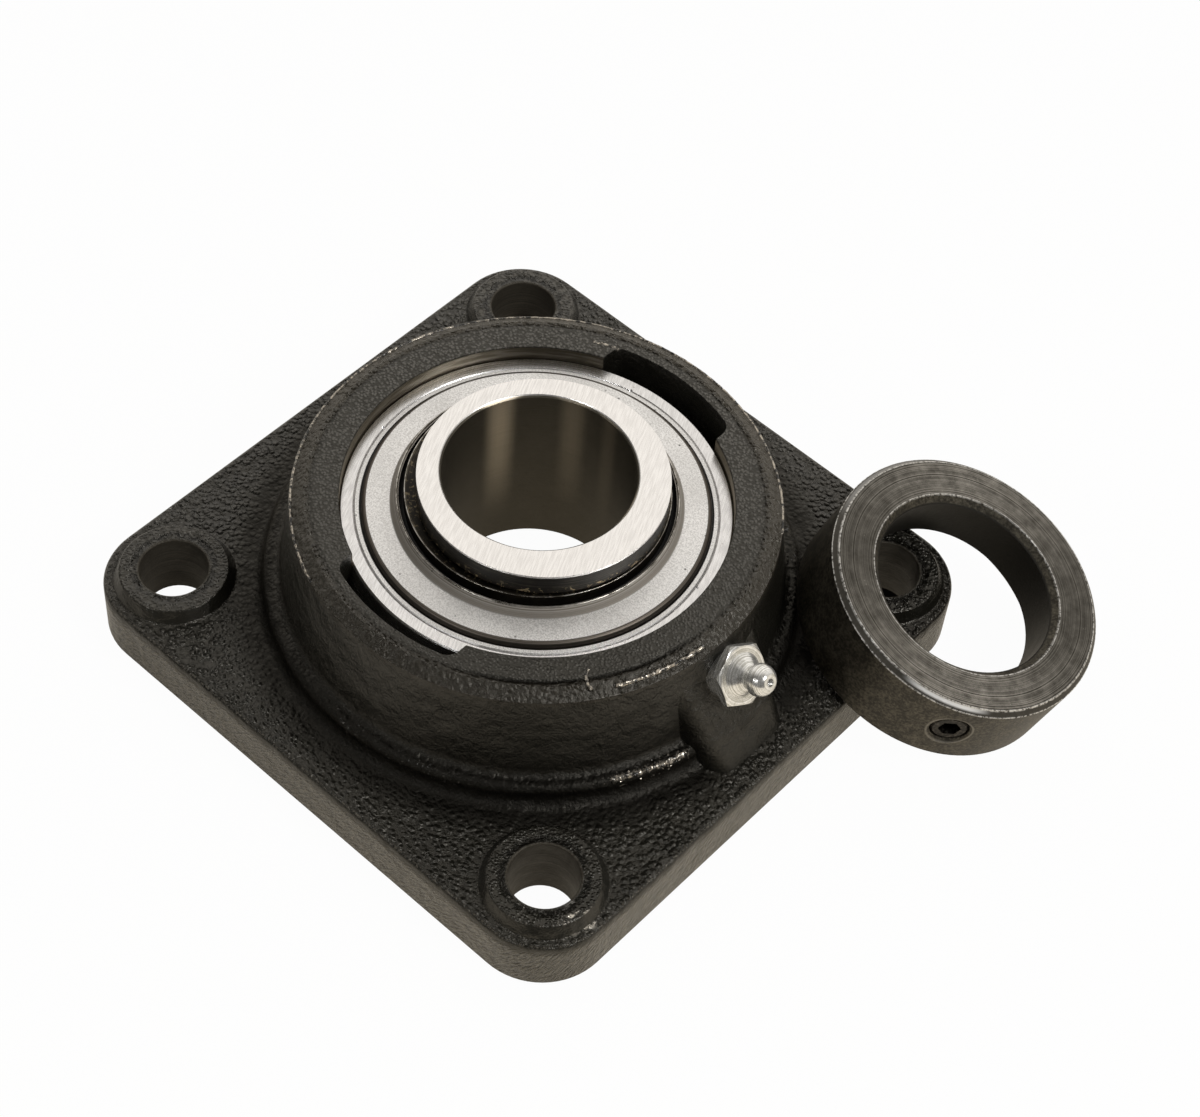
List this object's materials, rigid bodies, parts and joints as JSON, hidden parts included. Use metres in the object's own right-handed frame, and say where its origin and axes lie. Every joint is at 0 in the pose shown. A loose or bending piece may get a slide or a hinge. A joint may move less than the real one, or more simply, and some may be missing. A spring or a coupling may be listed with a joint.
{
  "type": "four-bolt flange bearing unit",
  "caption": "Square cast flange bearing with a self-aligning ball insert, wide inner ring, grease fitting and a loose eccentric locking collar beside it.",
  "frame": {"origin": "centre of the four bolt holes on the flat back face of the flange, on the bearing axis", "axes": "+Z along the bearing axis out of the front of the unit; +X towards the grease fitting; the flange sides are parallel to X and Y"},
  "size_m": [0.1619, 0.1457, 0.0461],
  "materials": {
    "cast_paint": "glossy black paint on rough cast iron",
    "ring_steel": "ground bearing steel",
    "ball_steel": "polished",
    "cage_plastic": "matte",
    "seal_steel": "satin",
    "seal_rubber": "matte",
    "zinc": "bright zinc plate",
    "spring_steel": "bright",
    "black_oxide": "turned, black oxide, worn bright at the edges",
    "screw_steel": "black oxide"
  },
  "bodies": {
    "housing": {"housing": "cast_paint", "grease_fitting_body": "zinc", "grease_fitting_spring": "spring_steel"},
    "grease_valve_ball": {"grease_fitting_ball": "ball_steel"},
    "outer_ring": {"outer_ring": "ring_steel", "front_seal_casing": "seal_steel", "front_seal_shroud": "seal_steel", "front_seal_rubber": "seal_rubber", "front_seal_washer": "seal_steel", "rear_seal_casing": "seal_steel", "rear_seal_shroud": "seal_steel", "rear_seal_rubber": "seal_rubber", "rear_seal_washer": "seal_steel"},
    "inner_ring": {"inner_ring": "ring_steel"},
    "cage": {"cage": "cage_plastic"},
    "ball_1": {"ball_1": "ball_steel"},
    "ball_2": {"ball_2": "ball_steel"},
    "ball_3": {"ball_3": "ball_steel"},
    "ball_4": {"ball_4": "ball_steel"},
    "ball_5": {"ball_5": "ball_steel"},
    "ball_6": {"ball_6": "ball_steel"},
    "ball_7": {"ball_7": "ball_steel"},
    "ball_8": {"ball_8": "ball_steel"},
    "ball_9": {"ball_9": "ball_steel"},
    "locking_collar": {"locking_collar": "black_oxide"},
    "collar_set_screw": {"collar_set_screw": "screw_steel"}
  },
  "joints": [
    {"name": "grease_valve", "type": "slide", "parent": "housing", "child": "grease_valve_ball", "axis": [-0.8526, 0, -0.5225], "range_m": [0, 0.0012], "stiffness_N_per_m": 200, "springref_m": -0.0005, "deforming": ["grease_fitting_spring"]},
    {"name": "insert_tilt", "type": "hinge", "parent": "housing", "child": "outer_ring", "pos_m": [0, 0, 0.02465], "axis": [1, 0, 0], "range_deg": [-3, 3]},
    {"name": "shaft_spin", "type": "hinge", "parent": "outer_ring", "child": "inner_ring", "pos_m": [0, 0, 0.02465], "axis": [0, 0, 1], "continuous": true},
    {"name": "cage_spin", "type": "hinge", "parent": "outer_ring", "child": "cage", "pos_m": [0, 0, 0.02465], "axis": [0, 0, 1], "continuous": true},
    {"name": "ball_1_spin", "type": "hinge", "parent": "cage", "child": "ball_1", "pos_m": [0.03, 0, 0.02465], "axis": [0, 0, 1], "continuous": true},
    {"name": "ball_2_spin", "type": "hinge", "parent": "cage", "child": "ball_2", "pos_m": [0.02298, 0.01928, 0.02465], "axis": [0, 0, 1], "continuous": true},
    {"name": "ball_3_spin", "type": "hinge", "parent": "cage", "child": "ball_3", "pos_m": [0.00521, 0.02954, 0.02465], "axis": [0, 0, 1], "continuous": true},
    {"name": "ball_4_spin", "type": "hinge", "parent": "cage", "child": "ball_4", "pos_m": [-0.015, 0.02598, 0.02465], "axis": [0, 0, 1], "continuous": true},
    {"name": "ball_5_spin", "type": "hinge", "parent": "cage", "child": "ball_5", "pos_m": [-0.02819, 0.01026, 0.02465], "axis": [0, 0, 1], "continuous": true},
    {"name": "ball_6_spin", "type": "hinge", "parent": "cage", "child": "ball_6", "pos_m": [-0.02819, -0.01026, 0.02465], "axis": [0, 0, 1], "continuous": true},
    {"name": "ball_7_spin", "type": "hinge", "parent": "cage", "child": "ball_7", "pos_m": [-0.015, -0.02598, 0.02465], "axis": [0, 0, 1], "continuous": true},
    {"name": "ball_8_spin", "type": "hinge", "parent": "cage", "child": "ball_8", "pos_m": [0.00521, -0.02954, 0.02465], "axis": [0, 0, 1], "continuous": true},
    {"name": "ball_9_spin", "type": "hinge", "parent": "cage", "child": "ball_9", "pos_m": [0.02298, -0.01928, 0.02465], "axis": [0, 0, 1], "continuous": true},
    {"name": "collar_lift", "type": "slide", "parent": "housing", "child": "locking_collar", "axis": [0.2897, 0.1363, 0.9473], "range_m": [0, 0.06]},
    {"name": "set_screw_drive", "type": "slide", "parent": "locking_collar", "child": "collar_set_screw", "axis": [-0.6319, 0.7707, 0.0823], "range_m": [-0.002, 0.0011]}
  ],
  "couplings": [
    {"joint": "cage_spin", "follows": "shaft_spin", "ratio": 0.39417},
    {"joint": "ball_1_spin", "follows": "shaft_spin", "ratio": -2.2564},
    {"joint": "ball_2_spin", "follows": "shaft_spin", "ratio": -2.2564},
    {"joint": "ball_3_spin", "follows": "shaft_spin", "ratio": -2.2564},
    {"joint": "ball_4_spin", "follows": "shaft_spin", "ratio": -2.2564},
    {"joint": "ball_5_spin", "follows": "shaft_spin", "ratio": -2.2564},
    {"joint": "ball_6_spin", "follows": "shaft_spin", "ratio": -2.2564},
    {"joint": "ball_7_spin", "follows": "shaft_spin", "ratio": -2.2564},
    {"joint": "ball_8_spin", "follows": "shaft_spin", "ratio": -2.2564},
    {"joint": "ball_9_spin", "follows": "shaft_spin", "ratio": -2.2564}
  ]
}
